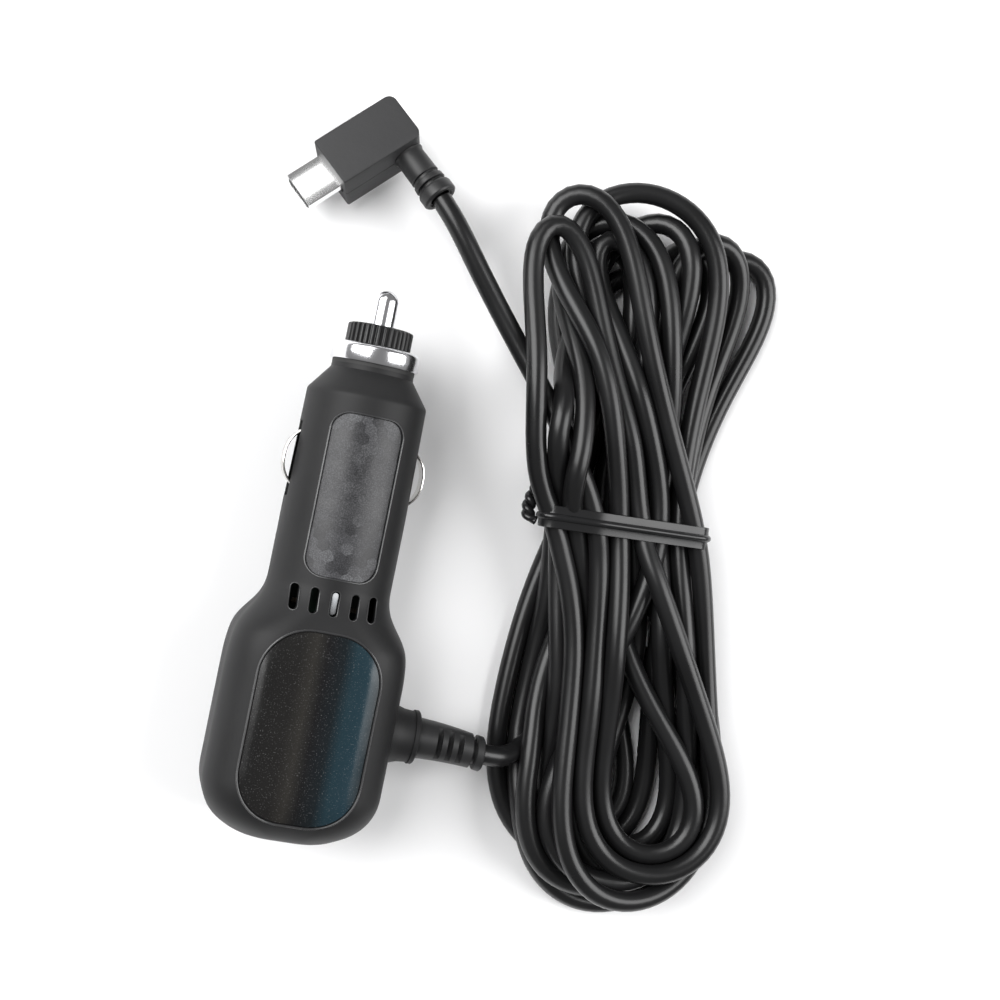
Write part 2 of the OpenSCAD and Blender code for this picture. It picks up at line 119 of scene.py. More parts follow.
# Where each turn goes through the tie, on its left and on its right: across, height
ROW_A, ROW_B, ROW_C, ROW_D = 1.9, 5.0, 8.1, 11.2
LEFT_SLOTS = [(-3.65, ROW_A), (-7.3, ROW_A), (-9.1, ROW_B), (-5.5, ROW_B), (-1.8, ROW_B), (-11, ROW_C),
    (-7.3, ROW_C), (3.65, ROW_C), (5.5, ROW_D), (-1.8, ROW_D), (-9.1, ROW_D)]
RIGHT_SLOTS = [(7.3, ROW_A), (9.1, ROW_B), (3.65, ROW_A), (0, ROW_A), (11, ROW_C), (1.8, ROW_B),
    (5.5, ROW_B), (7.3, ROW_C), (0, ROW_C), (9.1, ROW_D), (1.8, ROW_D)]
EXIT_SLOT = (-5.8, 14.2)

# The free stretches, near those of part.scad. The first comes from the adapter, the second goes to the plug.
USB_YAW = math.radians(225)
USB_ROLL = math.radians(21)
USB_AT = np.array([-9.4, 70.2, 4.5 * math.cos(USB_ROLL) + 4.65 * math.sin(USB_ROLL)])
USB_X = np.array([math.cos(USB_YAW), math.sin(USB_YAW), 0])
USB_Y = np.array([-math.cos(USB_ROLL) * math.sin(USB_YAW), math.cos(USB_ROLL) * math.cos(USB_YAW),
    math.sin(USB_ROLL)])
USB_Z = np.cross(USB_X, USB_Y)
USB_EXIT_X = -4.8
USB_BODY = (15.8, 9.3, 9.0)
USB_RELIEF_L = 9.8


def usb_point(x, y, z):
    """A point of the plug's own frame, x to its shell and y to the lead's side, in the part's frame."""
    return USB_AT + x * USB_X + y * USB_Y + z * USB_Z


def usb_exit(d):
    return usb_point(USB_EXIT_X, USB_BODY[1] / 2 + d, 0)


RELIEF_DROOP = 1.0
RELIEF_END = np.array([29.45, -26.4 - RELIEF_DROOP, 12])
ADAPTER_ROUTE = [RELIEF_END + [-0.6, 0.1, 0], RELIEF_END + [1.2, -0.15, 0], RELIEF_END + [3.4, -0.2, -0.8],
    [35.8, -27.3, 9.8]]
PLUG_ROUTE = [usb_exit(USB_RELIEF_L + 0.02), usb_exit(USB_RELIEF_L + 1.5), [7, 60.1, 12.3],
    [10.6, 55.4, 12.3], [14.2, 51.1, 12], [17.7, 46.9, 12], [21.1, 42.9, 12], [24.4, 39, 13],
    [30.2, 31.4, 14.6], [35, 24.6, 14.9], [38.4, 19.6, 14.6]]
STEP = 2.0
# The room inside the tie, across it and up, and the height that no turn passes
TIE_LEFT, TIE_RIGHT, TIE_TOP = -12, 13, 13
HANK_TOP = 17


def spline(points, step):
    """Points at an even step along a smooth curve through the given ones (centripetal Catmull-Rom)."""
    p = [np.asarray(q, float) for q in points]
    p = [2 * p[0] - p[1]] + p + [2 * p[-1] - p[-2]]
    fine = []
    for a, b, c, d in zip(p, p[1:], p[2:], p[3:]):
        t1 = np.linalg.norm(b - a) ** 0.5
        t2 = t1 + np.linalg.norm(c - b) ** 0.5
        t3 = t2 + np.linalg.norm(d - c) ** 0.5
        for t in np.linspace(t1, t2, 24, endpoint=False):
            ab = a * (t1 - t) / t1 + b * t / t1
            bc = b * (t2 - t) / (t2 - t1) + c * (t - t1) / (t2 - t1)
            cd = c * (t3 - t) / (t3 - t2) + d * (t - t2) / (t3 - t2)
            abc = ab * (t2 - t) / t2 + bc * t / t2
            bcd = bc * (t3 - t) / (t3 - t1) + cd * (t - t1) / (t3 - t1)
            fine.append(abc * (t2 - t) / (t2 - t1) + bcd * (t - t1) / (t2 - t1))
    fine.append(p[-2])
    fine = np.array(fine)
    run = np.concatenate([[0], np.cumsum(np.linalg.norm(np.diff(fine, axis=0), axis=1))])
    at = np.linspace(0, run[-1], max(2, round(run[-1] / step) + 1))
    return np.stack([np.interp(at, run, fine[:, k]) for k in range(3)], axis=1)


def in_row(across, along, height):
    u_v = WAIST + across * HANK_U + along * HANK_V
    return np.array([u_v[0], u_v[1], height])


def loop_points(height, far, radius, backwards):
    """The round end of one loop, pointing away from the tie, from its left side to its right."""
    far = np.array(far, float)
    outwards = far - (0.2 * far[0], 0)
    outwards /= np.linalg.norm(outwards)
    rightwards = np.array([outwards[1], -outwards[0]]) * (-1 if backwards else 1)
    centre = far - radius * outwards
    turns = np.radians(np.linspace(-100, 100, 9))
    points = [centre + radius * (math.sin(a) * rightwards + math.cos(a) * outwards) for a in turns]
    if backwards:
        points.reverse()
    return [in_row(q[0], q[1], height) for q in points]


def hank_route(lift):
    """Up the left side, over the top, down the right side and back round the bottom, turn after turn.

    With lift above 0 each turn starts that much higher than the one before it, clear of it.
    """
    points = [np.array(q, float) for q in ADAPTER_ROUTE]
    points += [in_row(-13, -38.5, 6), in_row(-9, -34.5, 3.5), in_row(-6, -26, 1.9)]
    for k in range(len(TOP_LOOPS)):
        rise = np.array([0, 0, lift * k])
        points.append(in_row(LEFT_SLOTS[k][0], 0, LEFT_SLOTS[k][1]) + rise)
        points += [q + rise for q in loop_points(*TOP_LOOPS[k], False)]
        points.append(in_row(RIGHT_SLOTS[k][0], 0, RIGHT_SLOTS[k][1]) + rise)
        points += [q + rise for q in loop_points(*LOW_LOOPS[k], True)]
    points.append(in_row(EXIT_SLOT[0], 0, EXIT_SLOT[1]) + np.array([0, 0, lift * len(TOP_LOOPS)]))
    points += [np.array(q, float) for q in reversed(PLUG_ROUTE)]
    return spline(points, STEP)


def stiffen(p):
    """The pull on each point towards the smooth curves through its neighbours, near and further off."""
    pull = np.zeros_like(p)
    for s, weight in ((1, 0.5), (2, 0.3), (4, 0.2)):
        bend = -p[:-4 * s] + 4 * p[s:-3 * s] - 6 * p[2 * s:-2 * s] + 4 * p[3 * s:-s] - p[4 * s:]
        pull[2 * s:-2 * s] += weight * bend / 6
    return pull


def settle(rounds):
    """Lowers the turns onto each other. They push each other apart and bend smoothly, near their places."""
    target = hank_route(0)
    for _ in range(20):
        target[2:-2] += 0.3 * stiffen(target)[2:-2]
    natural = stiffen(target)
    raised = hank_route(2.6)
    n = len(target)
    share = np.linspace(0, len(raised) - 1, n)
    p = target.copy()
    p[:, 2] = np.interp(share, np.arange(len(raised)), raised[:, 2])
    rest = np.linalg.norm(np.diff(target, axis=0), axis=1)
    held = np.zeros(n)
    held[:3] = 1
    held[-33:] = 1
    p[held > 0] = target[held > 0]
    free = (1 - held)[:, None]
    # The two loose ends follow their own routes closely
    anchor = np.full(n, 0.03)
    anchor[-70:] = 0.15
    anchor[:12] = 0.15
    index = np.arange(n)
    gap = LEAD_D + 0.05
    top = p[:, 2].max()
    for it in range(rounds):
        done = min(1, it / (0.5 * rounds))
        # for the last fifth nothing pulls: what still overlaps moves apart
        loose = it > 0.8 * rounds
        if it % 6 == 0:
            delta = p[:, None, :] - p[None, :, :]
            square = np.einsum("ijk,ijk->ij", delta, delta)
            a, b = np.nonzero((square < (gap + 1.5) ** 2) & (index[None, :] - index[:, None] > 5))
        move = stiffen(p) - natural
        if not loose:
            move[:, :2] += anchor[:, None] * (target - p)[:, :2]
            move[:, 2] -= 0.08
        p += free * move
        # the tie and the table
        flat = p[:, :2] - WAIST
        across, along = flat @ HANK_U, flat @ HANK_V
        tied = np.abs(along) < 3.5
        over = across - np.clip(across, TIE_LEFT, TIE_RIGHT)
        p[tied, :2] -= 0.3 * (over[:, None] * HANK_U)[tied]
        ceiling = top + (np.where(tied, TIE_TOP, HANK_TOP) - top) * done
        p[:, 2] = np.where(held > 0, p[:, 2], np.minimum(p[:, 2], ceiling))
        for _ in range(8 if loose else 4):
            delta = p[b] - p[a]
            dist = np.maximum(np.linalg.norm(delta, axis=1), 1e-6)
            short = np.maximum(gap - dist, 0)
            hit = short > 0
            push = (0.5 * short / dist)[:, None] * delta
            shift = np.zeros_like(p)
            count = np.zeros(n)
            for k in range(3):
                shift[:, k] = np.bincount(b[hit], push[hit, k], n) - np.bincount(a[hit], push[hit, k], n)
            count = np.bincount(b[hit], minlength=n) + np.bincount(a[hit], minlength=n)
            p += free * shift / np.maximum(1, 0.5 * count)[:, None]
            p[:, 2] = np.maximum(p[:, 2], LEAD_R)
        for odd in (0, 1):
            i = np.arange(odd, n - 1, 2)
            delta = p[i + 1] - p[i]
            dist = np.linalg.norm(delta, axis=1)
            fix = (0.4 * (dist - rest[i]) / dist)[:, None] * delta
            p[i] += free[i] * fix
            p[i + 1] -= free[i + 1] * fix
        p[:, 2] = np.maximum(p[:, 2], LEAD_R)
    return p


def even(points, step):
    """The same curve with its points at an even step, a little smoothed."""
    p = points.copy()
    for _ in range(3):
        p[1:-1] = 0.25 * p[:-2] + 0.5 * p[1:-1] + 0.25 * p[2:]
    return spline(p[::2] if len(p) % 2 else np.vstack([p[:-1:2], p[-1:]]), step)


def curve_piece(name, points, radius, material, body, sides=6):
    """A round tube along one open spline. Points are in mm."""
    data = bpy.data.curves.new(name, "CURVE")
    data.dimensions = "3D"
    data.bevel_depth = radius * MM
    data.bevel_resolution = sides
    data.use_fill_caps = True
    line = data.splines.new("POLY")
    line.points.add(len(points) - 1)
    flat = np.ones((len(points), 4))
    flat[:, :3] = np.asarray(points) * MM
    line.points.foreach_set("co", flat.ravel())
    line.use_smooth = True
    obj = bpy.data.objects.new(name, data)
    bpy.context.scene.collection.objects.link(obj)
    data.materials.append(material)
    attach(obj, body)
    return obj


lead_path = even(settle(420), 1.6)


# ---------------------------------------------------------------- materials


def material(name, colour, roughness, metallic=0.0, **sockets):
    """A new material with its shader's plain numbers set on the shader itself."""
    mat = bpy.data.materials.new(name)
    mat.use_nodes = True
    shader = mat.node_tree.nodes["Principled BSDF"]
    shader.inputs["Base Color"].default_value = (*colour, 1)
    shader.inputs["Roughness"].default_value = roughness
    shader.inputs["Metallic"].default_value = metallic
    for socket, value in sockets.items():
        shader.inputs[socket.replace("_", " ")].default_value = value
    return mat


def add(mat, kind, **inputs):
    node = mat.node_tree.nodes.new(kind)
    for socket, value in inputs.items():
        node.inputs[socket.replace("_", " ")].default_value = value
    return node


def place(mat, scale=(1, 1, 1)):
    """Object coordinates, stretched by scale; one unit is one metre."""
    coords = add(mat, "ShaderNodeTexCoord")
    mapping = add(mat, "ShaderNodeMapping", Scale=scale)
    mat.node_tree.links.new(coords.outputs["Object"], mapping.inputs["Vector"])
    return mapping.outputs["Vector"]


def noise(mat, where, scale, detail=2.0, roughness=0.5):
    node = add(mat, "ShaderNodeTexNoise", Scale=scale, Detail=detail, Roughness=roughness)
    mat.node_tree.links.new(where, node.inputs["Vector"])
    return node.outputs["Fac"]


def ramp(mat, value, stops):
    """A colour or grey that follows a value: stops are (position, grey or colour)."""
    node = add(mat, "ShaderNodeValToRGB")
    while len(node.color_ramp.elements) < len(stops):
        node.color_ramp.elements.new(0.5)
    for element, (at, grey) in zip(node.color_ramp.elements, stops):
        element.position = at
        element.color = (*grey, 1) if isinstance(grey, tuple) else (grey, grey, grey, 1)
    mat.node_tree.links.new(value, node.inputs["Fac"])
    return node.outputs["Color"]


def drive(mat, socket, value):
    mat.node_tree.links.new(value, mat.node_tree.nodes["Principled BSDF"].inputs[socket])


def bump(mat, height, distance, strength=1.0, after=None):
    """Raises the surface by up to distance metres where height is 1."""
    node = add(mat, "ShaderNodeBump", Strength=strength, Distance=distance)
    mat.node_tree.links.new(height, node.inputs["Height"])
    if after is not None:
        mat.node_tree.links.new(after, node.inputs["Normal"])
    drive(mat, "Normal", node.outputs["Normal"])
    return node.outputs["Normal"]


def jacket_material():
    """Satin black PVC, a little uneven in shine and colour."""
    mat = material("lead jacket", (0.009, 0.009, 0.0095), 0.3, Specular_IOR_Level=0.36)
    where = place(mat)
    fine = noise(mat, where, 900, 3)
    wide = noise(mat, where, 60, 2)
    drive(mat, "Roughness", ramp(mat, wide, [(0.3, 0.26), (0.7, 0.34)]))
    drive(mat, "Base Color", ramp(mat, wide, [(0.3, (0.006, 0.006, 0.0063)), (0.75, (0.011, 0.011, 0.0115))]))
    bump(mat, fine, 0.00002, 0.4)
    return mat


def plastic(name, colour, roughness, grain=600, height=0.00002):
    """Moulded plastic or rubber with a fine grain."""
    mat = material(name, colour, roughness, Specular_IOR_Level=0.36)
    where = place(mat)
    drive(mat, "Roughness",
        ramp(mat, noise(mat, where, 90), [(0.3, roughness - 0.04), (0.7, roughness + 0.05)]))
    bump(mat, noise(mat, where, grain, 3), height, 0.5)
    return mat


def metal(name, colour, roughness):
    """Plated metal, very slightly uneven."""
    mat = material(name, colour, roughness, 1.0)
    wide = noise(mat, place(mat), 140, 2)
    drive(mat, "Roughness", ramp(mat, wide, [(0.3, roughness), (0.75, roughness + 0.05)]))
    return mat


def housing_material():
    """Soft-touch black: fine grain, a faint wide unevenness and no clear reflections."""
    mat = material("soft-touch black", (0.01, 0.01, 0.0103), 0.46, Specular_IOR_Level=0.22)
    where = place(mat)
    wide = noise(mat, where, 70, 3)
    drive(mat, "Base Color", ramp(mat, wide, [(0.3, (0.011, 0.011, 0.0115)), (0.75, (0.016, 0.016, 0.0165))]))
    drive(mat, "Roughness", ramp(mat, wide, [(0.3, 0.46), (0.7, 0.56)]))
    bump(mat, noise(mat, where, 2600, 2), 0.000012, 0.5)
    return mat


def rim_material():
    # glossier than the housing, and lighter in colour than it: the lighter colour is a painted highlight
    # along the edges
    mat = material("glossy edge with painted highlight", (0.03, 0.03, 0.031), 0.26)
    drive(mat, "Roughness", ramp(mat, noise(mat, place(mat), 200), [(0.3, 0.22), (0.7, 0.34)]))
    return mat


def vector_maths(mat, kind, *values):
    node = add(mat, "ShaderNodeVectorMath")
    node.operation = kind
    for socket, value in zip(node.inputs, values):
        if isinstance(value, tuple):
            socket.default_value = value
        else:
            mat.node_tree.links.new(value, socket)
    return node.outputs["Value"] if kind == "LENGTH" else node.outputs["Vector"]


def hexagons(mat, where):
    """A random grey for each hexagon of a tiling whose cells are one unit across the flats."""
    tall = 3 ** 0.5
    half = (0.5, tall / 2, 1.0)
    flat = vector_maths(mat, "MULTIPLY", where, (1.0, 1.0, 0.0))
    first = vector_maths(mat, "WRAP", flat, half, (-0.5, -tall / 2, -1.0))
    moved = vector_maths(mat, "SUBTRACT", flat, (0.5, tall / 2, 0.0))
    second = vector_maths(mat, "WRAP", moved, half, (-0.5, -tall / 2, -1.0))
    nearer = add(mat, "ShaderNodeMath")
    nearer.operation = "LESS_THAN"
    mat.node_tree.links.new(vector_maths(mat, "LENGTH", first), nearer.inputs[0])
    mat.node_tree.links.new(vector_maths(mat, "LENGTH", second), nearer.inputs[1])
    pick = add(mat, "ShaderNodeMix")
    pick.data_type = "VECTOR"
    mat.node_tree.links.new(nearer.outputs[0], pick.inputs["Factor"])
    mat.node_tree.links.new(second, pick.inputs[4])
    mat.node_tree.links.new(first, pick.inputs[5])
    cell = vector_maths(mat, "SUBTRACT", flat, pick.outputs[1])
    centre = vector_maths(mat, "SNAP", vector_maths(mat, "ADD", cell, (0.05, 0.05, 0.5)), (0.1, 0.1, 1.0))
    chance = add(mat, "ShaderNodeTexWhiteNoise")
    chance.noise_dimensions = "3D"
    mat.node_tree.links.new(centre, chance.inputs["Vector"])
    return chance.outputs["Value"]


def mixed(mat, factor, a, b, kind="MIX"):
    """Mixes two colours, each a socket or a plain colour, by a factor that is a socket or a number."""
    node = add(mat, "ShaderNodeMix")
    node.data_type = "RGBA"
    node.blend_type = kind
    for socket, value in ((node.inputs["Factor"], factor), (node.inputs[6], a), (node.inputs[7], b)):
        if isinstance(value, (int, float)):
            socket.default_value = value
        elif isinstance(value, tuple):
            socket.default_value = (*value, 1)
        else:
            mat.node_tree.links.new(value, socket)
    return node.outputs[2]


def along(mat, axis, low, high):
    """0 to 1 as the surface runs from low to high along one axis of the part's frame, in millimetres."""
    split = add(mat, "ShaderNodeSeparateXYZ")
    mat.node_tree.links.new(place(mat), split.inputs["Vector"])
    span = add(mat, "ShaderNodeMapRange")
    span.inputs["From Min"].default_value = low * MM
    span.inputs["From Max"].default_value = high * MM
    mat.node_tree.links.new(split.outputs[axis], span.inputs["Value"])
    return span.outputs["Result"]


def panel_material():
    """Dark grey glitter film with hexagons a shade apart, clearest towards its two ends."""
    mat = material("glitter film", (0.036, 0.036, 0.038), 0.38, Specular_IOR_Level=0.3)
    where = place(mat, (1000 / 1.9, 1000 / 1.9, 1000 / 1.9))
    cells = hexagons(mat, where)
    ends = ramp(mat, along(mat, "Y", TIP_Y - PANEL[1][1], TIP_Y - PANEL[1][0]),
        [(0.0, 1.0), (0.22, 0.75), (0.4, 0.18), (0.75, 0.18), (0.93, 0.6), (1.0, 1.0)])
    grey = ramp(mat, cells,
        [(0.0, (0.008, 0.008, 0.009)), (0.55, (0.035, 0.035, 0.038)), (1.0, (0.075, 0.076, 0.08))])
    base = mixed(mat, ends, (0.036, 0.036, 0.038), grey)
    glint = noise(mat, place(mat), 5200, 2, 0.8)
    speck = ramp(mat, glint, [(0.35, 0.55), (0.5, 0.95), (0.66, 2.2)])
    drive(mat, "Base Color", mixed(mat, 1.0, base, speck, "MULTIPLY"))
    drive(mat, "Roughness", ramp(mat, cells, [(0.0, 0.32), (1.0, 0.46)]))
    bump(mat, glint, 0.00002, 0.6)
    return mat


def label_material():
    """Glossy dark film with fine specks, and a painted reflection across it: brown-grey left of the middle,
    then a teal-blue band towards the lead's side.
    """
    mat = material("dark label film", (0.012, 0.0125, 0.013), 0.17, Specular_IOR_Level=0.3)
    across = along(mat, "X", PLUG_X - 10, PLUG_X + 10)
    # painted reflection: a brown-grey band and a teal-blue band across the film, painted into its colour
    painted_reflection = ramp(mat, across,
        [(0.0, (0.008, 0.008, 0.008)), (0.3, (0.011, 0.0105, 0.01)), (0.42, (0.02, 0.0185, 0.0165)),
        (0.52, (0.007, 0.007, 0.0075)), (0.66, (0.006, 0.009, 0.011)), (0.76, (0.01, 0.024, 0.032)),
        (0.9, (0.011, 0.027, 0.037)), (1.0, (0.007, 0.012, 0.015))])
    glint = noise(mat, place(mat), 4200, 2, 0.7)
    specks = ramp(mat, glint, [(0.6, 0.0), (0.75, 0.07)])
    drive(mat, "Base Color", mixed(mat, 1.0, painted_reflection, specks, "ADD"))
    drive(mat, "Roughness", ramp(mat, noise(mat, place(mat), 240, 3), [(0.3, 0.14), (0.7, 0.24)]))
    return mat


def guide_material():
    """Milky clear plastic, with painted shade: dark grey at its rear end, where the slot shades it, to light
    grey at its front end.
    """
    mat = material("light guide", (0.62, 0.64, 0.66), 0.25, Transmission_Weight=0.3, IOR=1.49)
    # painted shade and light: darker towards the rear end of the slot, lighter towards its front end
    drive(mat, "Base Color", ramp(mat, along(mat, "Y", TIP_Y - 54.6, TIP_Y - 50.6),
        [(0.0, (0.2, 0.2, 0.21)), (0.6, (0.5, 0.52, 0.54)), (1.0, (0.8, 0.82, 0.84))]))
    return mat

# ---------------------------------------------------------------- shapes

# The adapter's own frame has its origin at the tip of the centre contact and runs back along -Y.
# "s" below is the distance back from the tip. TURNED and the two exits have it, or the lead's way, along z.
ADAPTER = Matrix.Translation((PLUG_X, TIP_Y, AXIS_Z))
TURNED = ADAPTER @ Matrix.Rotation(math.radians(90), 4, "X")
BOSS_S = 73.2
BOSS = ADAPTER @ Matrix.Translation((0, -BOSS_S, 0)) @ Matrix.Rotation(math.radians(90), 4, "Y")
USB = Matrix.Translation(USB_AT) @ Matrix((USB_X, USB_Y, USB_Z)).transposed().to_4x4()
USB_EXIT_TURN = Matrix.Rotation(math.radians(-90), 4, "X")
USB_EXIT = USB @ Matrix.Translation((USB_EXIT_X, USB_BODY[1] / 2, 0)) @ USB_EXIT_TURN
ROW = Matrix.Identity(4)


def solid(name, points, faces, at=ROW):
    """A plain mesh object from points in millimetres in the frame "at", not yet a piece of the object."""
    mesh = bpy.data.meshes.new(name)
    mesh.from_pydata([tuple(map(float, q)) for q in points], [], faces)
    mesh.transform(Matrix.Scale(MM, 4) @ at)
    tidy = bmesh.new()
    tidy.from_mesh(mesh)
    bmesh.ops.remove_doubles(tidy, verts=tidy.verts, dist=1e-6)
    bmesh.ops.recalc_face_normals(tidy, faces=tidy.faces)
    tidy.to_mesh(mesh)
    tidy.free()
    obj = bpy.data.objects.new(name, mesh)
    bpy.context.scene.collection.objects.link(obj)
    return obj


def piece(obj, mat, body, nodes=(), sharp=32, bevel=0.0):
    """Makes a mesh a piece of the object: its finish, its body and the CAD nodes it stands for."""
    obj.data.materials.clear()
    obj.data.materials.append(mat)
    if bevel:
        edge = obj.modifiers.new("edges", "BEVEL")
        edge.width = bevel * MM
        edge.segments = 2
        edge.limit_method = "ANGLE"
        edge.angle_limit = math.radians(30)
        edge.use_clamp_overlap = True
    obj.data.shade_smooth()
    obj.data.set_sharp_from_angle(angle=math.radians(sharp))
    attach(obj, body)
    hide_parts(*nodes)
    return obj


def combine(base, parts, how):
    """Cuts the parts out of the base, or joins or intersects them with it, and uses them up."""
    for part in parts:
        step = base.modifiers.new(how, "BOOLEAN")
        step.operation = how
        step.object = part
        step.solver = "EXACT"
    bpy.context.view_layer.update()
    mesh = bpy.data.meshes.new_from_object(base.evaluated_get(bpy.context.evaluated_depsgraph_get()))
    base.modifiers.clear()
    base.data = mesh
    for part in parts:
        bpy.data.objects.remove(part)
    return base


def joined(name, objects):
    """Several meshes as one object."""
    mesh = bmesh.new()
    for obj in objects:
        mesh.from_mesh(obj.data)
    data = bpy.data.meshes.new(name)
    mesh.to_mesh(data)
    mesh.free()
    for obj in objects:
        bpy.data.objects.remove(obj)
    result = bpy.data.objects.new(name, data)
    bpy.context.scene.collection.objects.link(result)
    return result


def skin(name, rings, at=ROW, loop=False):
    """A skin through rings of points. Its two ends are closed, or with loop they meet."""
    n = len(rings[0])
    count = len(rings)
    faces = []
    for i in range(count if loop else count - 1):
        a, b = i * n, (i + 1) % count * n
        faces += [(a + j, b + j, b + (j + 1) % n, a + (j + 1) % n) for j in range(n)]
    if not loop:
        faces += [tuple(range(n)), tuple(range((count - 1) * n, count * n))]
    return solid(name, [q for ring in rings for q in ring], faces, at)


def turned(name, profile, at=TURNED, sides=128, loop=False):
    """Turns a profile of (radius, place) about the z axis of "at". With loop the profile closes on itself."""
    angles = [2 * math.pi * k / sides for k in range(sides)]
    rings = [[(max(r, 1e-6) * math.cos(a), max(r, 1e-6) * math.sin(a), z) for a in angles]
        for r, z in profile]
    return skin(name, rings, at, loop)


def rounded_rect(w, l, r, corner=10):
    """A rectangle about the origin with round corners, as points anticlockwise."""
    points = []
    for k, (x, y) in enumerate([(1, 1), (-1, 1), (-1, -1), (1, -1)]):
        for a in np.radians(np.linspace(0, 90, corner)) + k * math.pi / 2:
            points.append((x * (w / 2 - r) + r * math.cos(a), y * (l / 2 - r) + r * math.sin(a)))
    return points


def prism(name, outline, z0, z1, at=ROW):
    return skin(name, [[(x, y, z0) for x, y in outline], [(x, y, z1) for x, y in outline]], at)


def block(name, low, high, at=ROW):
    (x0, y0, z0), (x1, y1, z1) = low, high
    return prism(name, [(x0, y0), (x1, y0), (x1, y1), (x0, y1)], z0, z1, at)


def tube(name, points, radius, sides=16, at=ROW, closed=False):
    """A round tube along a line of points, as a mesh."""
    p = np.asarray(points, float)
    ahead = np.roll(p, -1, 0) - np.roll(p, 1, 0)
    if not closed:
        ahead[0], ahead[-1] = p[1] - p[0], p[-1] - p[-2]
    ahead /= np.linalg.norm(ahead, axis=1)[:, None]
    side = np.cross(ahead[0], (0.3, 0.5, 0.8))
    rings = []
    for q, t in zip(p, ahead):
        side = side - t * (side @ t)
        side /= np.linalg.norm(side)
        other = np.cross(t, side)
        angles = np.linspace(0, 2 * math.pi, sides, endpoint=False)
        rings.append([q + radius * (math.cos(a) * side + math.sin(a) * other) for a in angles])
    return skin(name, rings, at, closed)


# ---------------------------------------------------------------- the housing's form

# (place, half width) and (place, half height) along the adapter. The rear end is rounded off in half_size.
WIDTHS = [(13.5, 6.95), (14.3, 7.0), (18.3, 10.0), (18.7, 10.14), (37.5, 10.4), (51, 10.4),
    (52, 10.5), (53, 10.7), (54, 11.15), (55, 11.75), (56, 12.5), (57, 13.25), (58, 13.9),
    (59, 14.3), (60, 14.55), (62, 14.8), (64, 14.95), (95, 14.95)]
HEIGHTS = [(13.5, 6.95), (14.3, 7.0), (18.3, 10.0), (18.7, 10.14), (37.5, 10.4), (52, 10.4),
    (53.6, 10.8), (57, 11.5), (61, 12), (95, 12)]
CORNERS = [(50.3, 10.45), (59, 8), (95, 8)]
REAR_S = 93.4
REAR_PLAN_R = 10.0
REAR_SIDE_R = 9.0
WALL = 1.8


def half_size(table, rear_radius, s, inset):
    """Half the housing's width or height at s, with the curve of its rear end, made smaller by inset."""
    places, sizes = zip(*table)
    spread = (-1.5, -1, -0.5, 0, 0.5, 1, 1.5) if s > 45 else (0,)
    size = sum(np.interp(s + d, places, sizes) for d in spread) / len(spread) - inset
    past = s - (REAR_S - rear_radius)
    if past > 0:
        radius = rear_radius - inset
        size -= radius - math.sqrt(max(0, radius ** 2 - past ** 2))
    return float(size)


def section(s, inset=0.0):
    """Half width, half height and corner radius at s."""
    w = half_size(WIDTHS, REAR_PLAN_R, s, inset)
    h = half_size(HEIGHTS, REAR_SIDE_R, s, inset)
    return w, h, min(w, h, float(np.interp(s, *zip(*CORNERS))) - inset)


def top_z(x, s, inset=0.0):
    """How high the housing's upper face is over the axis at x across, s along."""
    w, h, c = section(s, inset)
    past = min(max(abs(x) - (w - c), 0), c)
    return h - c + math.sqrt(c * c - past * past)


def form(name, start, inset=0.0):
    """The housing's outer form as a closed solid, or its cavity with an inset."""
    end = REAR_S - inset
    stops = [start, 14.3, 16, 17.5, 18.3, 18.5, 18.7, 19.2] + list(np.arange(20, 49, 2))
    stops += list(np.arange(49, 65, 0.5))
    stops += list(np.arange(65.5, 83, 2))
    stops += [REAR_S - REAR_PLAN_R + (end - REAR_S + REAR_PLAN_R) * math.sin(math.radians(a))
        for a in range(0, 91, 5)]
    rings = []
    for s in sorted(set(round(v, 3) for v in stops if start <= v <= end + 1e-6)):
        w, h, c = section(s, inset)
        rings.append([(x, -s, z) for x, z in rounded_rect(2 * w, 2 * h, c, 36)])
    return skin(name, rings, ADAPTER)


def recess_outline(w, ends, r, margin=0.0, corner=14):
    """A rounded window in the upper face: points (across, along)."""
    outline = rounded_rect(w - 2 * margin, ends[1] - ends[0] - 2 * margin, r - margin, corner)
    middle = (ends[0] + ends[1]) / 2
    # the long sides need points too, because the face under them is curved
    points = []
    for (x, y), (x1, y1) in zip(outline, outline[1:] + outline[:1]):
        parts = max(1, round(math.hypot(x1 - x, y1 - y) / 1.0))
        points += [(x + (x1 - x) * k / parts, middle + y + (y1 - y) * k / parts) for k in range(parts)]
    return points


def over_face(name, outline, inset, above, grid=14):
    """A sheet that follows the upper face at this inset, closed below or above it by a copy "above" away."""
    mid_x = sum(q[0] for q in outline) / len(outline)
    mid_s = sum(q[1] for q in outline) / len(outline)
    rings = []
    for k in range(1, grid + 1):
        share = k / grid
        ring = [(mid_x + share * (x - mid_x), mid_s + share * (s - mid_s)) for x, s in outline]
        rings.append([(x, -s, top_z(x, s, inset)) for x, s in ring])
    rings.append([(x, y, z + above) for x, y, z in rings[-1]])
    back = [[(x, y, z + above) for x, y, z in ring] for ring in reversed(rings[:-2])]
    return skin(name, rings + back, ADAPTER)


# ---------------------------------------------------------------- the housing

soft_black = housing_material()
PANEL = (12.0, (21.6, 48.6), 3.0)
PANEL_DEPTH = 0.45
LABEL = (20.0, (57.4, 89.2), 8.0)
LABEL_DEPTH = 0.6
VENT_S = 52.6
VENT_X = [-6.5, -3.35, 0, 3.35, 6.5]


def fillet(x, y, r0, r1, steps=8):
    """Quarter curve from (r0, x) in to (r1, y), hollow side outwards."""
    return [(r1 + (r0 - r1) * (1 - math.sin(a)), x + (y - x) * (1 - math.cos(a)))
        for a in np.radians(np.linspace(0, 90, steps))]


def vent(x):
    return prism("vent", rounded_rect(1.4, 4.2, 0.69, 8), 3, 15,
        ADAPTER @ Matrix.Translation((x, -VENT_S, 0)))


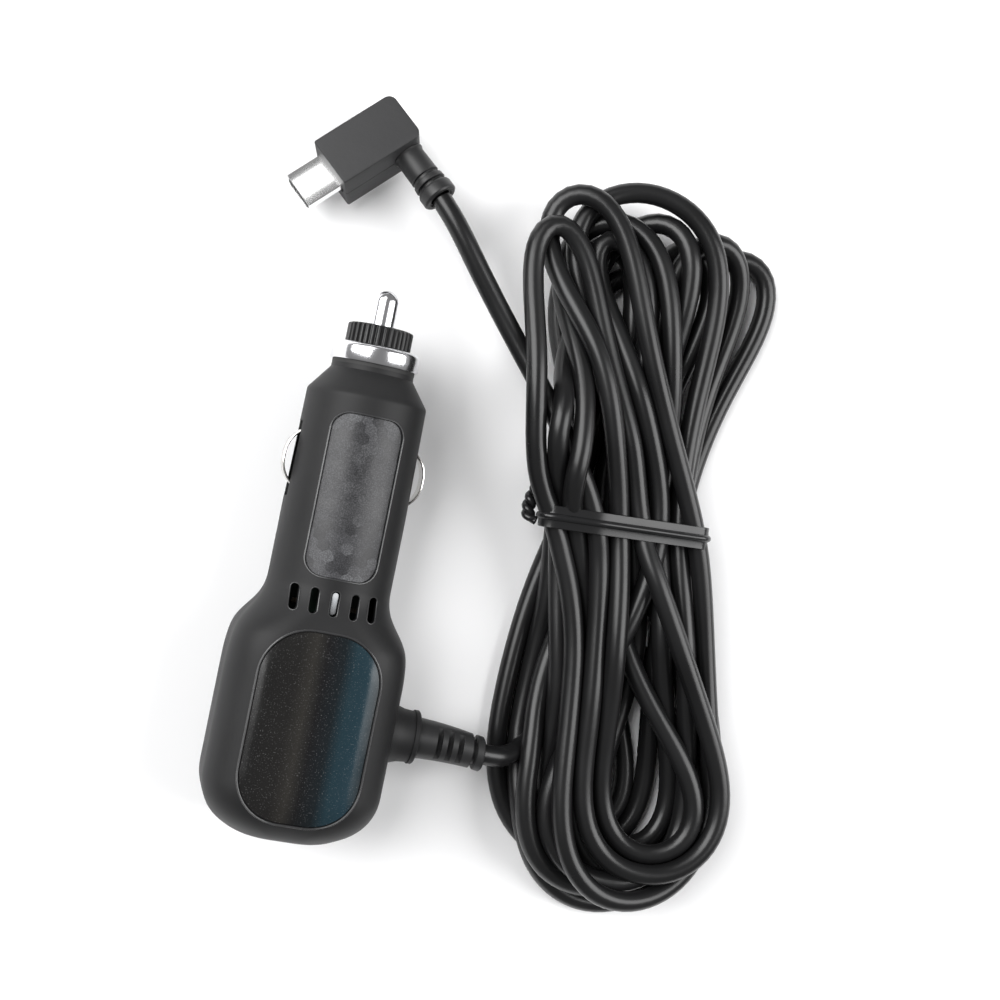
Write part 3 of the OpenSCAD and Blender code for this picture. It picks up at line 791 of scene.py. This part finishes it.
def build_housing():
    shell = form("shell", 13.5)
    boss = turned("boss", [(0, 12)] + fillet(12.6, 18.2, 9.5, 4.4) + [(4.4, 18.7), (4.6, 18.8), (4.6, 19.45),
        (4.4, 19.65), (0, 19.65)], BOSS, 64)
    combine(shell, [boss], "UNION")
    cuts = [form("cavity", 19.5, WALL), turned("bore", [(0, 10), (3.1, 10), (3.1, 22), (0, 22)], BOSS, 48),
        turned("fuse bore", [(0, 7), (3.3, 7), (3.3, 24), (0, 24)], TURNED, 48),
        over_face("panel recess", recess_outline(*PANEL), PANEL_DEPTH, 6),
        over_face("label recess", recess_outline(*LABEL), LABEL_DEPTH, 6)]
    cuts += [vent(x) for x in VENT_X]
    for side in (-1, 1):
        slot_turn = Matrix.Rotation(math.radians(90 * side), 4, "Y")
        slot_at = ADAPTER @ slot_turn @ Matrix.Translation((0, -30.6, 0))
        cuts.append(prism("side slot", rounded_rect(4.2, 12.8, 0.6, 6), 7, 13, slot_at))
    combine(shell, cuts, "DIFFERENCE")
    lower = shell.copy()
    lower.data = shell.data.copy()
    bpy.context.scene.collection.objects.link(lower)
    seam = 0.04
    combine(shell, [block("above", (-40, -100, seam), (40, 0, 30), ADAPTER)], "INTERSECT")
    combine(lower, [block("below", (-40, -100, -30), (40, 0, -seam), ADAPTER)], "INTERSECT")
    posts = []
    for x, s in ((-8.5, 61.5), (8.5, 61.5), (-8.5, 84), (8.5, 84)):
        at = ADAPTER @ Matrix.Translation((x, -s, 0))
        posts.append(turned("post", [(0, -1.55), (1.6, -1.55), (1.6, 10.6), (0, 10.6)], at, 24))
        posts.append(turned("post",
            [(0, -10.6), (1.8, -10.6), (1.8, -3.25), (0.8, -3.25), (0.8, -1.6), (0, -1.6)], at, 24))
    upper = joined("housing_upper", [shell] + posts[0::2])
    lower = joined("housing_lower", [lower] + posts[1::2])
    piece(upper, soft_black, "housing", ["housing_top"], 28)
    piece(lower, soft_black, "housing", ["housing_bottom"], 28)
    thread = [(3.3, 8.3), (4.0, 8.3), (4.2, 8.6)]
    for k in range(5):
        thread += [(4.2, 9.0 + 0.9 * k), (4.02, 9.25 + 0.9 * k), (4.02, 9.45 + 0.9 * k), (4.2, 9.7 + 0.9 * k)]
    thread += [(4.25, 13.6), (4.25, 14.2), (3.3, 14.2)]
    piece(turned("housing_neck", thread, TURNED, 96, True), soft_black, "housing")


build_housing()


def face_bead(name, outline, radius, mat):
    """A fine raised line along an outline on the upper face."""
    line = [(x, -s, top_z(x, s) - 0.3 * radius) for x, s in outline]
    return piece(tube(name, line, radius, 10, ADAPTER, True), mat, "housing")


rim_black = rim_material()
face_bead("panel_rim", recess_outline(*PANEL, -0.1), 0.16, rim_black)
face_bead("label_rim", recess_outline(*LABEL, -0.15), 0.2, rim_black)


vent_lines = []
for x in VENT_X:
    outline = [(x + across, VENT_S - back) for across, back in rounded_rect(1.5, 4.3, 0.74, 7)]
    line = [(across, -s, top_z(across, s) - 0.04) for across, s in outline]
    vent_lines.append(tube("vent line", line, 0.1, 8, ADAPTER, True))
piece(joined("vent_rims", vent_lines), rim_black, "housing")

panel_film = over_face("panel_film", recess_outline(*PANEL, 0.12), PANEL_DEPTH - 0.17, -0.15)
piece(panel_film, panel_material(), "housing", ["front_panel_film"])
label_film = over_face("label_film", recess_outline(*LABEL, 0.18), LABEL_DEPTH - 0.37, -0.35)
piece(label_film, label_material(), "housing", ["rear_label"])

guide = prism("light_guide", rounded_rect(1.1, 3.7, 0.54, 8), 6.9, 10.15,
    ADAPTER @ Matrix.Translation((0, -VENT_S, 0)))
piece(guide, guide_material(), "housing", bevel=0.15)

# ---------------------------------------------------------------- nose and contacts

chrome = metal("chrome", (0.8, 0.8, 0.82), 0.15)
nickel = metal("nickel", (0.8, 0.78, 0.75), 0.18)
ring_profile = [(5.02, 9.8), (6.5, 9.8)]
ring_profile += [(6.6 + 0.9 * math.sin(a), 10.7 - 0.9 * math.cos(a))
    for a in np.radians(np.linspace(0, 90, 9))]
ring_profile += [(7.5, 12.7), (7.42, 12.86), (7.28, 12.9), (5.02, 12.9)]
piece(turned("chrome_ring", ring_profile, TURNED, 160, True), chrome, "nose_cap", ["nose_ring"])


def build_collar():
    """Knurled collar. Its profile is one loop of (radius, place, share of the rib height)."""
    ribs = 34
    profile = [(2.2, 6.3, 0), (4.55, 6.3, 0), (4.85, 6.34, 0.2), (5.05, 6.5, 0.8), (5.05, 6.75, 1),
        (5.05, 9.3, 1),
        (5.05, 9.7, 1), (4.98, 9.78, 0), (4.98, 12.88, 0), (4.36, 12.88, 0), (4.36, 7.7, 0), (2.2, 7.7, 0)]
    wave = [0, 0.25, 0.9, 1, 1, 0.9, 0.25, 0]
    rings = []
    for r, s, share in profile:
        ring = []
        for k in range(ribs):
            for m, height in enumerate(wave):
                a = 2 * math.pi * (k + (m + 0.5) / len(wave)) / ribs
                reach = r + 0.5 * share * height
                ring.append((reach * math.cos(a), reach * math.sin(a), s))
        rings.append(ring)
    collar = skin("knurled_collar", rings, TURNED, True)
    piece(collar, plastic("collar black", (0.012, 0.012, 0.0125), 0.34, 400, 0.00002), "nose_cap",
        ["nose_collar"], 40)


build_collar()
pin_profile = [(2.1 * math.sin(a), 2.1 - 2.1 * math.cos(a)) for a in np.radians(np.linspace(0, 90, 14))]
pin_profile += [(2.1, 7.6), (2.2, 7.7), (2.95, 7.7), (3, 7.75), (3, 8.75), (2.95, 8.8), (0, 8.8)]
piece(turned("contact_pin", pin_profile, TURNED, 96), chrome, "contact", ["center_contact"])

STRIP = [(7.6, 20.6), (7.9, 23), (8.6, 25), (10.1, 26.2), (11.1, 27.4), (11.65, 28.8), (11.8, 30.4),
    (11.65, 32),
    (11.1, 33.4), (10.1, 34.6), (8.7, 35.6), (7.9, 36.4), (7.7, 38)]


def build_strip(side, name, node):
    """Bowed spring strip, with its edges rolled a little and a hinge pin at its front end."""
    line = spline([(x, s, 0) for x, s in STRIP], 0.35)[:, :2]
    ahead = np.gradient(line, axis=0)
    ahead /= np.linalg.norm(ahead, axis=1)[:, None]
    out = np.stack([ahead[:, 1], -ahead[:, 0]], axis=1)
    rings = []
    for q, normal in zip(line, out):
        ring = []
        for z, depth in ((-1.8, 0), (-1.7, 0.17), (-1.2, 0.2), (1.2, 0.2), (1.7, 0.17), (1.8, 0),
            (1.7, -0.17),
                (1.2, -0.2), (-1.2, -0.2), (-1.7, -0.17)):
            x, s = q + depth * normal
            ring.append((side * x, -s, z))
        rings.append(ring)
    strip = skin("strip", rings, ADAPTER)
    hinge_at = ADAPTER @ Matrix.Translation((side * 7.6, -20.4, 0))
    hinge = turned("hinge", [(0, -1.8), (0.35, -1.8), (0.35, 1.8), (0, 1.8)], hinge_at, 24)
    piece(joined(name, [strip, hinge]), nickel, node, [node], 40)


build_strip(-1, "left_strip", "side_contact_left")
build_strip(1, "right_strip", "side_contact_right")

SPRING_S = (29.4, 37.4)
wire_r = 0.3
coil = []
for k in range(6 * 24 + 1):
    a = 2 * math.pi * k / 24
    coil.append((2 * math.cos(a), 2 * math.sin(a), SPRING_S[0] + wire_r + (8 - 2 * wire_r) * k / (6 * 24)))
spring = piece(tube("press_spring", coil, wire_r, 10, TURNED), metal("spring steel", (0.6, 0.6, 0.62), 0.25),
    "housing", ["contact_spring"])
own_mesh(spring)

# ---------------------------------------------------------------- strain reliefs and the USB plug

relief_rubber = plastic("relief rubber", (0.016, 0.016, 0.0165), 0.42, 500, 0.00002)


def relief(name, l, r0, r1, root, at):
    """A tapered relief with slots staggered from side to side, a groove to the lead, and an end ring."""
    ring, groove = 1.4, 0.8
    profile = [(LEAD_R + 0.01, root[0][1])] + root
    for k in range(10):
        z = (l - ring - groove) * k / 9
        profile.append((r0 + (r1 - r0) * z / l, z))
    profile += [(r1 - 0.12, l - ring - groove + 0.03), (LEAD_R + 0.25, l - ring - groove + 0.03),
        (LEAD_R + 0.25, l - ring - 0.03), (r1 - 0.05, l - ring - 0.03), (r1 + 0.15, l - ring + 0.1),
        (r1 + 0.15, l - 0.25), (r1 - 0.1, l), (LEAD_R + 0.01, l)]
    body = turned(name, profile, at, 96, True)
    cuts = []
    for i in range(3):
        for side in (-1, 1):
            z = l - ring - groove - 1.75 - 1.9 * i - (0.95 if side > 0 else 0)
            low = LEAD_R + 0.15 if side > 0 else -8
            high = 8 if side > 0 else -LEAD_R - 0.15
            cuts.append(prism("slot", [(-8, low), (8, low), (8, high), (-8, high)], z, z + 0.95, at))
    return combine(body, cuts, "DIFFERENCE")


def grooved_relief(name, l, r0, r1, at):
    """A plain neck, two deep grooves and a thick end ring."""
    deep = LEAD_R + 0.45
    profile = [(LEAD_R + 0.01, -0.8), (r0, -0.8), (r0 + 0.25, 0.1), (r0, 0.6), (r0 + 0.06, l - 5)]
    for z, r in ((l - 4.8, r0 + 0.1), (l - 3.1, r0 + 0.3)):
        profile += [(r, z), (r - 0.08, z + 0.1), (deep, z + 0.14), (deep, z + 0.75), (r + 0.04, z + 0.8),
            (r + 0.12, z + 0.9)]
    profile += [(r1, l - 1.9), (r1, l - 0.3), (r1 - 0.3, l), (LEAD_R + 0.4, l), (LEAD_R + 0.3, l - 0.3),
        (LEAD_R + 0.01, l - 0.3)]
    return turned(name, profile, at, 96, True)


adapter_relief_at = BOSS @ Matrix.Translation((0, 0, 19.65)) @ Matrix.Rotation(math.radians(90), 4, "Z")
adapter_relief = relief("adapter_relief", 12, 3.5, 2.85,
    [(4.2, -7.5), (4.2, -6.6), (3, -6.6), (3, -0.4), (3.5, 0.02)], adapter_relief_at)
# it droops a little towards the adapter's rear
for corner in adapter_relief.data.vertices:
    run = corner.co.x / MM - PLUG_X - 19.65
    if run > 0:
        corner.co.y -= RELIEF_DROOP * (run / 12) ** 2 * MM
piece(adapter_relief, relief_rubber, "housing", ["strain_relief"], 35, 0.06)
plug_relief = grooved_relief("plug_relief", USB_RELIEF_L, 2.55, 3.1, USB_EXIT)
piece(plug_relief, relief_rubber, "housing", ["usb_strain_relief"], 35, 0.06)

SHELL_W, SHELL_H, SHELL_L = 6.8, 3.0, 6.6


def build_usb_body():
    """Moulded block with soft edges, a parting line round its middle and the shell's mouth."""
    l, w, t = USB_BODY
    edge = 0.28
    rings = []
    for side in (-1, 1):
        turns = np.radians(np.linspace(0, 90, 6))
        half = [(t / 2 - edge + edge * math.cos(a), edge - edge * math.sin(a)) for a in turns]
        half += [(0.12, 0), (0.0, 0.1)]
        for z, inset in (half if side < 0 else reversed(half[:-1])):
            outline = rounded_rect(l - 2 * inset, w - 2 * inset, 1.5 - inset, 8)
            # the corners at the shell's end are nearly sharp
            sharp = rounded_rect(l - 2 * inset, w - 2 * inset, 0.4 - inset, 8)
            rings.append([(x, y, side * z) for x,
                y in (b if b[0] > 0 else a for a, b in zip(outline, sharp))])
    body = skin("plug_block", rings, USB)
    mouth = prism("mouth", [(l / 2 - 2, -SHELL_W / 2 - 0.02), (l / 2 + 2, -SHELL_W / 2 - 0.02),
        (l / 2 + 2, SHELL_W / 2 + 0.02), (l / 2 - 2, SHELL_W / 2 + 0.02)], -SHELL_H / 2 - 0.02,
        SHELL_H / 2 + 0.02, USB)
    combine(body, [mouth], "DIFFERENCE")
    grain = plastic("plug grain", (0.024, 0.024, 0.025), 0.55, 1100, 0.00007)
    piece(body, grain, "housing", ["usb_plug_body"], 28)


def shell_outline(g):
    """The shell's outline: its two lower edges are cut away as on any mini-B plug."""
    w, h = SHELL_W / 2, SHELL_H / 2
    return [(-w + g, h - g - 0.2), (-w + g + 0.06, h - g - 0.06), (-w + g + 0.2, h - g), (w - g - 0.2, h - g),
        (w - g - 0.06, h - g - 0.06), (w - g, h - g - 0.2), (w - g, 0), (w - g - 0.1, -0.2),
        (w - 0.8 - g / 2, -h + g + 0.1), (w - 0.95 - g / 2, -h + g), (-w + 0.95 + g / 2, -h + g),
        (-w + 0.8 + g / 2, -h + g + 0.1), (-w + g + 0.1, -0.2), (-w + g, 0)]


def build_usb_shell():
    start, end = USB_BODY[0] / 2 - 2, USB_BODY[0] / 2 + SHELL_L
    rings = []
    for x, g in ((start, 0), (end - 0.1, 0), (end - 0.02, 0.05), (end, 0.15), (end - 0.02, 0.25),
        (end - 0.1, 0.3),
            (start + 0.4, 0.3), (start + 0.4, 1.2)):
        rings.append([(x, y, z) for y, z in shell_outline(g)])
    shell = skin("plug_shell", rings, USB)
    piece(shell, metal("shell steel", (0.92, 0.92, 0.92), 0.14), "housing",
        ["usb_shell"], 25)


build_usb_body()
build_usb_shell()

# ---------------------------------------------------------------- the tie

TIE_TURN = math.radians(3)
TIE_U = np.array([math.cos(TIE_TURN), math.sin(TIE_TURN)])
TIE_V = np.array([-math.sin(TIE_TURN), math.cos(TIE_TURN)])
tie_plastic = plastic("tie plastic", (0.01, 0.01, 0.0105), 0.24, 300, 0.00002)


def hull(points):
    """The convex hull of flat points, anticlockwise."""
    points = sorted(map(tuple, points))
    chain = []
    for order in (points, points[::-1]):
        part = []
        for q in order:
            while len(part) > 1 and np.cross(np.subtract(part[-1], part[-2]), np.subtract(q, part[-2])) <= 0:
                part.pop()
            part.append(q)
        chain += part[:-1]
    return np.array(chain)


def tie_line():
    """Round the turns where they pass through the tie's plane: points (across, height), evenly spaced."""
    flat = lead_path[:, :2] - WAIST
    along = flat @ TIE_V
    circle = np.radians(np.arange(0, 360, 12))
    rim = []
    for k in np.nonzero(along[:-1] * along[1:] <= 0)[0]:
        share = along[k] / (along[k] - along[k + 1])
        across = (1 - share) * (flat[k] @ TIE_U) + share * (flat[k + 1] @ TIE_U)
        height = (1 - share) * lead_path[k, 2] + share * lead_path[k + 1, 2]
        if abs(across) < 20:
            rim += [(across + (LEAD_R + 0.1) * math.cos(a),
                max(0.05, height + (LEAD_R + 0.1) * math.sin(a))) for a in circle]
    corners = hull(rim)
    loop = np.vstack([corners, corners[:1]])
    run = np.concatenate([[0], np.cumsum(np.linalg.norm(np.diff(loop, axis=0), axis=1))])
    at = np.linspace(0, run[-1], 160, endpoint=False)
    line = np.stack([np.interp(at, run, loop[:, k]) for k in (0, 1)], axis=1)
    for _ in range(6):
        line = 0.25 * np.roll(line, 1, 0) + 0.5 * line + 0.25 * np.roll(line, -1, 0)
    return line


def at_tie(across, along, height):
    spot = WAIST + across * TIE_U + along * TIE_V
    return (spot[0], spot[1], height)


def build_tie():
    """Flat plastic ribbon with a wire down its middle, and its two ends twisted together on the left."""
    line = tie_line()
    ahead = np.roll(line, -1, 0) - np.roll(line, 1, 0)
    ahead /= np.linalg.norm(ahead, axis=1)[:, None]
    out = np.stack([ahead[:, 1], -ahead[:, 0]], axis=1)
    ribbon = [(-1.9, 0), (-1.95, 0.2), (-1.85, 0.34), (-1.0, 0.36), (-0.62, 0.42), (-0.45, 0.72),
        (-0.2, 0.9), (0.2, 0.9),
        (0.45, 0.72), (0.62, 0.42), (1.0, 0.36), (1.85, 0.34), (1.95, 0.2), (1.9, 0)]
    rings = []
    for q, normal in zip(line, out):
        rings.append([at_tie(q[0] + d * normal[0], v, max(0.02, q[1] + d * normal[1])) for v, d in ribbon])
    band = skin("band", rings, ROW, True)
    left = line[np.argmin(line[:, 0] - 0.05 * np.abs(line[:, 1] - 9))]
    path = spline([(left[0] - 0.2, -1.2, 10.5), (left[0] - 1.3, -0.6, 9.8), (left[0] - 1.5, 1.2, 9.4),
        (left[0] - 1.0, 3.4, 9.2), (left[0] + 0.1, 5.6, 8.8), (left[0] + 0.9, 7.4, 8.2)], 0.25)
    ends = []
    for phase in (0, math.pi):
        strand = []
        for k, (across, along, height) in enumerate(path):
            a = phase + 2 * math.pi * k * 0.25 / 3.4
            grow = min(1, k / 8)
            strand.append(at_tie(across + 0.62 * grow * math.cos(a), along + 0.12 * math.cos(a),
                height + 0.62 * grow * math.sin(a)))
        ends.append(tube("end", strand, 0.66, 12))
    return piece(joined("twist_tie", [band] + ends), tie_plastic, "housing", ["hank_tie"], 40)


build_tie()

# ---------------------------------------------------------------- the parts kept from the CAD model


def varied(name, colour, roughness, metallic=0.0, amount=0.15, scale=300, **sockets):
    """A plain finish that is a little uneven."""
    mat = material(name, colour, roughness, metallic, **sockets)
    dark = tuple(c * (1 - amount) for c in colour)
    light = tuple(min(1, c * (1 + amount)) for c in colour)
    uneven = noise(mat, place(mat), scale, 3)
    drive(mat, "Base Color", ramp(mat, uneven, [(0.3, dark), (0.7, light)]))
    drive(mat, "Roughness", ramp(mat, uneven, [(0.3, roughness), (0.7, min(1, roughness + 0.08))]))
    return mat


def winding_material():
    mat = material("copper winding", (0.6, 0.26, 0.11), 0.3, 1.0)
    wave = add(mat, "ShaderNodeTexWave", Scale=900, Distortion=0.3)
    wave.bands_direction = "Z"
    mat.node_tree.links.new(place(mat), wave.inputs["Vector"])
    drive(mat, "Base Color",
        ramp(mat, wave.outputs["Fac"], [(0.2, (0.3, 0.1, 0.04)), (0.6, (0.72, 0.34, 0.15))]))
    bump(mat, wave.outputs["Fac"], 0.0001, 0.7)
    return mat


KEPT = {
    "nose_washer": varied("washer rubber", (0.012, 0.012, 0.012), 0.6),
    "fuse_tube": varied("fuse glass", (0.93, 0.97, 0.97), 0.04, 0, 0.02, Transmission_Weight=0.95, IOR=1.5),
    "fuse_end_caps": metal("fuse caps", (0.8, 0.79, 0.77), 0.16),
    "fuse_element": varied("fuse wire", (0.6, 0.6, 0.62), 0.35, 1.0),
    "fuse_cup": varied("cup brass", (0.75, 0.56, 0.26), 0.24, 1.0),
    "contact_bridge": varied("bridge brass", (0.72, 0.54, 0.25), 0.28, 1.0),
    "circuit_board": varied("solder mask", (0.004, 0.025, 0.012), 0.4, 0, 0.3, 500),
    "inductor_core": varied("ferrite", (0.045, 0.045, 0.05), 0.55),
    "inductor_winding": winding_material(),
    "input_capacitor": varied("capacitor sleeve", (0.03, 0.05, 0.14), 0.28),
    "output_capacitor": metal("capacitor can", (0.75, 0.75, 0.77), 0.22),
    "regulator_ic": varied("chip epoxy", (0.02, 0.02, 0.02), 0.55),
    "rectifier_diode": varied("diode epoxy", (0.025, 0.025, 0.025), 0.5),
    "chip_parts": varied("chip ceramic", (0.42, 0.32, 0.22), 0.35, 0, 0.35, 900),
    "indicator_led": varied("led lens", (0.85, 0.88, 0.9), 0.12, 0, 0.03, Transmission_Weight=0.5, IOR=1.52),
    "positive_lead": varied("red wire", (0.45, 0.02, 0.02), 0.35),
    "negative_lead": varied("black wire", (0.015, 0.015, 0.015), 0.35),
    "output_wires": varied("output wires", (0.05, 0.05, 0.052), 0.38),
    "usb_insulator": plastic("plug insulator", (0.02, 0.02, 0.02), 0.45),
    "usb_contacts": varied("gold plating", (0.85, 0.62, 0.24), 0.2, 1.0),
}
for node, finish in KEPT.items():
    part = bpy.data.objects[node]
    part.data.materials.clear()
    part.data.materials.append(finish)

# ---------------------------------------------------------------- the lead as one piece

lead = curve_piece("lead", lead_path, LEAD_R, jacket_material(), "housing", 7)
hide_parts("cord_adapter_side", "cord_hank", "cord_plug_side")

# ---------------------------------------------------------------- floor and light

floor_mesh = bpy.data.meshes.new("floor")
floor_mesh.from_pydata([(-1.5, -1.5, 0), (1.5, -1.5, 0), (1.5, 1.5, 0), (-1.5, 1.5, 0)], [], [(0, 1, 2, 3)])
floor = bpy.data.objects.new("floor", floor_mesh)
bpy.context.scene.collection.objects.link(floor)
floor_mesh.materials.append(material("floor", (0.9, 0.9, 0.905), 0.6))


def softbox(name, spot, size, power):
    data = bpy.data.lights.new(name, "AREA")
    data.shape = "RECTANGLE"
    data.size, data.size_y = size
    data.energy = power
    light = bpy.data.objects.new(name, data)
    bpy.context.scene.collection.objects.link(light)
    light.location = spot
    light.rotation_euler = (Vector((0.02, 0.02, 0)) - Vector(spot)).to_track_quat("-Z", "Y").to_euler()


LEFT_WATTS = 17
RIGHT_WATTS = 11
SHELL_WATTS = 0.85
WORLD_STRENGTH = 0.22
softbox("left softbox", (-0.75, 0.25, 0.75), (0.7, 1.0), LEFT_WATTS)
softbox("right softbox", (0.8, 0.15, 0.7), (0.6, 0.9), RIGHT_WATTS)
# This one stands where the flat top of the plug's shell mirrors it to the camera
softbox("shell softbox", (-0.32, 0.56, 0.57), (0.4, 0.4), SHELL_WATTS)
world = bpy.data.worlds.new("studio")
world.use_nodes = True
world.node_tree.nodes["Background"].inputs["Color"].default_value = (1, 1, 1, 1)
world.node_tree.nodes["Background"].inputs["Strength"].default_value = WORLD_STRENGTH
bpy.context.scene.world = world
bpy.context.scene.view_settings.view_transform = "Standard"
